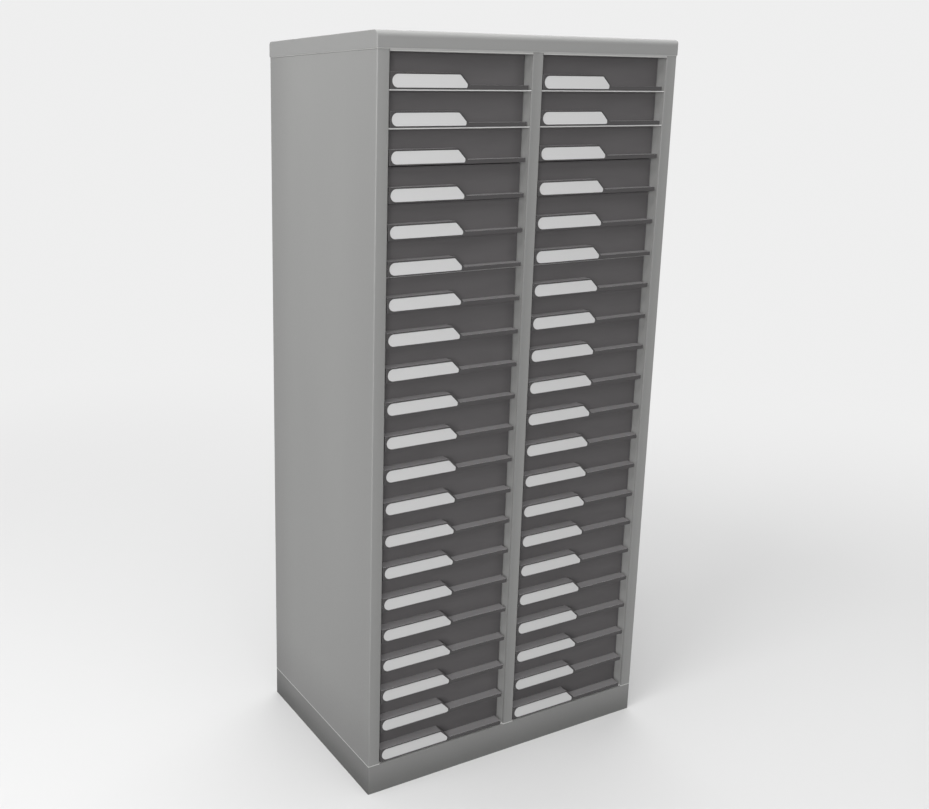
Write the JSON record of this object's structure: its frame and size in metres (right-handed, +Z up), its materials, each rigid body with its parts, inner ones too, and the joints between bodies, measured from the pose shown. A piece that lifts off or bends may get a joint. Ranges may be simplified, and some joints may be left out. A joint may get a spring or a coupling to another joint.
{
  "type": "drawer cabinet",
  "caption": "Tall two-column floor cabinet of shallow full-width drawers for papers, each with a forward lip and a raised label plate.",
  "frame": {"origin": "on the floor under the middle of the cabinet", "axes": "+Z up, drawers face -Y and pull out along -Y, +X to the viewer's right"},
  "size_m": [0.542, 0.3424, 1.1575],
  "materials": {
    "carcass_paint": "fine satin powder coat, light grey",
    "sheet_paint": "satin powder coat, pale grey",
    "board": "light grey laminated board with rounded edges",
    "drawer_plastic": "fine textured charcoal moulding; the label card is white paper",
    "runner_plastic": "smooth pale grey strip",
    "screw_steel": "zinc plated"
  },
  "bodies": {
    "carcass": {"side_panel_left": "carcass_paint", "side_panel_right": "carcass_paint", "centre_stile": "carcass_paint", "liner_left_outer": "sheet_paint", "liner_left_inner": "sheet_paint", "liner_right_inner": "sheet_paint", "liner_right_outer": "sheet_paint", "runners_left_outer": "runner_plastic", "runners_left_inner": "runner_plastic", "runners_right_inner": "runner_plastic", "runners_right_outer": "runner_plastic", "back_panel": "carcass_paint", "plinth": "carcass_paint", "floor_sheet": "sheet_paint", "top_sheet": "sheet_paint", "top_board": "board", "cross_rails": "sheet_paint", "screws": "screw_steel"},
    "drawer_left_01": {"drawer_left_01": "drawer_plastic"},
    "drawer_left_02": {"drawer_left_02": "drawer_plastic"},
    "drawer_left_03": {"drawer_left_03": "drawer_plastic"},
    "drawer_left_04": {"drawer_left_04": "drawer_plastic"},
    "drawer_left_05": {"drawer_left_05": "drawer_plastic"},
    "drawer_left_06": {"drawer_left_06": "drawer_plastic"},
    "drawer_left_07": {"drawer_left_07": "drawer_plastic"},
    "drawer_left_08": {"drawer_left_08": "drawer_plastic"},
    "drawer_left_09": {"drawer_left_09": "drawer_plastic"},
    "drawer_left_10": {"drawer_left_10": "drawer_plastic"},
    "drawer_left_11": {"drawer_left_11": "drawer_plastic"},
    "drawer_left_12": {"drawer_left_12": "drawer_plastic"},
    "drawer_left_13": {"drawer_left_13": "drawer_plastic"},
    "drawer_left_14": {"drawer_left_14": "drawer_plastic"},
    "drawer_left_15": {"drawer_left_15": "drawer_plastic"},
    "drawer_left_16": {"drawer_left_16": "drawer_plastic"},
    "drawer_left_17": {"drawer_left_17": "drawer_plastic"},
    "drawer_left_18": {"drawer_left_18": "drawer_plastic"},
    "drawer_left_19": {"drawer_left_19": "drawer_plastic"},
    "drawer_left_20": {"drawer_left_20": "drawer_plastic"},
    "drawer_left_21": {"drawer_left_21": "drawer_plastic"},
    "drawer_right_01": {"drawer_right_01": "drawer_plastic"},
    "drawer_right_02": {"drawer_right_02": "drawer_plastic"},
    "drawer_right_03": {"drawer_right_03": "drawer_plastic"},
    "drawer_right_04": {"drawer_right_04": "drawer_plastic"},
    "drawer_right_05": {"drawer_right_05": "drawer_plastic"},
    "drawer_right_06": {"drawer_right_06": "drawer_plastic"},
    "drawer_right_07": {"drawer_right_07": "drawer_plastic"},
    "drawer_right_08": {"drawer_right_08": "drawer_plastic"},
    "drawer_right_09": {"drawer_right_09": "drawer_plastic"},
    "drawer_right_10": {"drawer_right_10": "drawer_plastic"},
    "drawer_right_11": {"drawer_right_11": "drawer_plastic"},
    "drawer_right_12": {"drawer_right_12": "drawer_plastic"},
    "drawer_right_13": {"drawer_right_13": "drawer_plastic"},
    "drawer_right_14": {"drawer_right_14": "drawer_plastic"},
    "drawer_right_15": {"drawer_right_15": "drawer_plastic"},
    "drawer_right_16": {"drawer_right_16": "drawer_plastic"},
    "drawer_right_17": {"drawer_right_17": "drawer_plastic"},
    "drawer_right_18": {"drawer_right_18": "drawer_plastic"},
    "drawer_right_19": {"drawer_right_19": "drawer_plastic"},
    "drawer_right_20": {"drawer_right_20": "drawer_plastic"},
    "drawer_right_21": {"drawer_right_21": "drawer_plastic"}
  },
  "joints": [
    {"name": "slide_left_01", "type": "slide", "parent": "carcass", "child": "drawer_left_01", "axis": [0, -1, 0], "range_m": [0, 0.24]},
    {"name": "slide_left_02", "type": "slide", "parent": "carcass", "child": "drawer_left_02", "axis": [0, -1, 0], "range_m": [0, 0.24]},
    {"name": "slide_left_03", "type": "slide", "parent": "carcass", "child": "drawer_left_03", "axis": [0, -1, 0], "range_m": [0, 0.24]},
    {"name": "slide_left_04", "type": "slide", "parent": "carcass", "child": "drawer_left_04", "axis": [0, -1, 0], "range_m": [0, 0.24]},
    {"name": "slide_left_05", "type": "slide", "parent": "carcass", "child": "drawer_left_05", "axis": [0, -1, 0], "range_m": [0, 0.24]},
    {"name": "slide_left_06", "type": "slide", "parent": "carcass", "child": "drawer_left_06", "axis": [0, -1, 0], "range_m": [0, 0.24]},
    {"name": "slide_left_07", "type": "slide", "parent": "carcass", "child": "drawer_left_07", "axis": [0, -1, 0], "range_m": [0, 0.24]},
    {"name": "slide_left_08", "type": "slide", "parent": "carcass", "child": "drawer_left_08", "axis": [0, -1, 0], "range_m": [0, 0.24]},
    {"name": "slide_left_09", "type": "slide", "parent": "carcass", "child": "drawer_left_09", "axis": [0, -1, 0], "range_m": [0, 0.24]},
    {"name": "slide_left_10", "type": "slide", "parent": "carcass", "child": "drawer_left_10", "axis": [0, -1, 0], "range_m": [0, 0.24]},
    {"name": "slide_left_11", "type": "slide", "parent": "carcass", "child": "drawer_left_11", "axis": [0, -1, 0], "range_m": [0, 0.24]},
    {"name": "slide_left_12", "type": "slide", "parent": "carcass", "child": "drawer_left_12", "axis": [0, -1, 0], "range_m": [0, 0.24]},
    {"name": "slide_left_13", "type": "slide", "parent": "carcass", "child": "drawer_left_13", "axis": [0, -1, 0], "range_m": [0, 0.24]},
    {"name": "slide_left_14", "type": "slide", "parent": "carcass", "child": "drawer_left_14", "axis": [0, -1, 0], "range_m": [0, 0.24]},
    {"name": "slide_left_15", "type": "slide", "parent": "carcass", "child": "drawer_left_15", "axis": [0, -1, 0], "range_m": [0, 0.24]},
    {"name": "slide_left_16", "type": "slide", "parent": "carcass", "child": "drawer_left_16", "axis": [0, -1, 0], "range_m": [0, 0.24]},
    {"name": "slide_left_17", "type": "slide", "parent": "carcass", "child": "drawer_left_17", "axis": [0, -1, 0], "range_m": [0, 0.24]},
    {"name": "slide_left_18", "type": "slide", "parent": "carcass", "child": "drawer_left_18", "axis": [0, -1, 0], "range_m": [0, 0.24]},
    {"name": "slide_left_19", "type": "slide", "parent": "carcass", "child": "drawer_left_19", "axis": [0, -1, 0], "range_m": [0, 0.24]},
    {"name": "slide_left_20", "type": "slide", "parent": "carcass", "child": "drawer_left_20", "axis": [0, -1, 0], "range_m": [0, 0.24]},
    {"name": "slide_left_21", "type": "slide", "parent": "carcass", "child": "drawer_left_21", "axis": [0, -1, 0], "range_m": [0, 0.24]},
    {"name": "slide_right_01", "type": "slide", "parent": "carcass", "child": "drawer_right_01", "axis": [0, -1, 0], "range_m": [0, 0.24]},
    {"name": "slide_right_02", "type": "slide", "parent": "carcass", "child": "drawer_right_02", "axis": [0, -1, 0], "range_m": [0, 0.24]},
    {"name": "slide_right_03", "type": "slide", "parent": "carcass", "child": "drawer_right_03", "axis": [0, -1, 0], "range_m": [0, 0.24]},
    {"name": "slide_right_04", "type": "slide", "parent": "carcass", "child": "drawer_right_04", "axis": [0, -1, 0], "range_m": [0, 0.24]},
    {"name": "slide_right_05", "type": "slide", "parent": "carcass", "child": "drawer_right_05", "axis": [0, -1, 0], "range_m": [0, 0.24]},
    {"name": "slide_right_06", "type": "slide", "parent": "carcass", "child": "drawer_right_06", "axis": [0, -1, 0], "range_m": [0, 0.24]},
    {"name": "slide_right_07", "type": "slide", "parent": "carcass", "child": "drawer_right_07", "axis": [0, -1, 0], "range_m": [0, 0.24]},
    {"name": "slide_right_08", "type": "slide", "parent": "carcass", "child": "drawer_right_08", "axis": [0, -1, 0], "range_m": [0, 0.24]},
    {"name": "slide_right_09", "type": "slide", "parent": "carcass", "child": "drawer_right_09", "axis": [0, -1, 0], "range_m": [0, 0.24]},
    {"name": "slide_right_10", "type": "slide", "parent": "carcass", "child": "drawer_right_10", "axis": [0, -1, 0], "range_m": [0, 0.24]},
    {"name": "slide_right_11", "type": "slide", "parent": "carcass", "child": "drawer_right_11", "axis": [0, -1, 0], "range_m": [0, 0.24]},
    {"name": "slide_right_12", "type": "slide", "parent": "carcass", "child": "drawer_right_12", "axis": [0, -1, 0], "range_m": [0, 0.24]},
    {"name": "slide_right_13", "type": "slide", "parent": "carcass", "child": "drawer_right_13", "axis": [0, -1, 0], "range_m": [0, 0.24]},
    {"name": "slide_right_14", "type": "slide", "parent": "carcass", "child": "drawer_right_14", "axis": [0, -1, 0], "range_m": [0, 0.24]},
    {"name": "slide_right_15", "type": "slide", "parent": "carcass", "child": "drawer_right_15", "axis": [0, -1, 0], "range_m": [0, 0.24]},
    {"name": "slide_right_16", "type": "slide", "parent": "carcass", "child": "drawer_right_16", "axis": [0, -1, 0], "range_m": [0, 0.24]},
    {"name": "slide_right_17", "type": "slide", "parent": "carcass", "child": "drawer_right_17", "axis": [0, -1, 0], "range_m": [0, 0.24]},
    {"name": "slide_right_18", "type": "slide", "parent": "carcass", "child": "drawer_right_18", "axis": [0, -1, 0], "range_m": [0, 0.24]},
    {"name": "slide_right_19", "type": "slide", "parent": "carcass", "child": "drawer_right_19", "axis": [0, -1, 0], "range_m": [0, 0.24]},
    {"name": "slide_right_20", "type": "slide", "parent": "carcass", "child": "drawer_right_20", "axis": [0, -1, 0], "range_m": [0, 0.24]},
    {"name": "slide_right_21", "type": "slide", "parent": "carcass", "child": "drawer_right_21", "axis": [0, -1, 0], "range_m": [0, 0.24]}
  ]
}
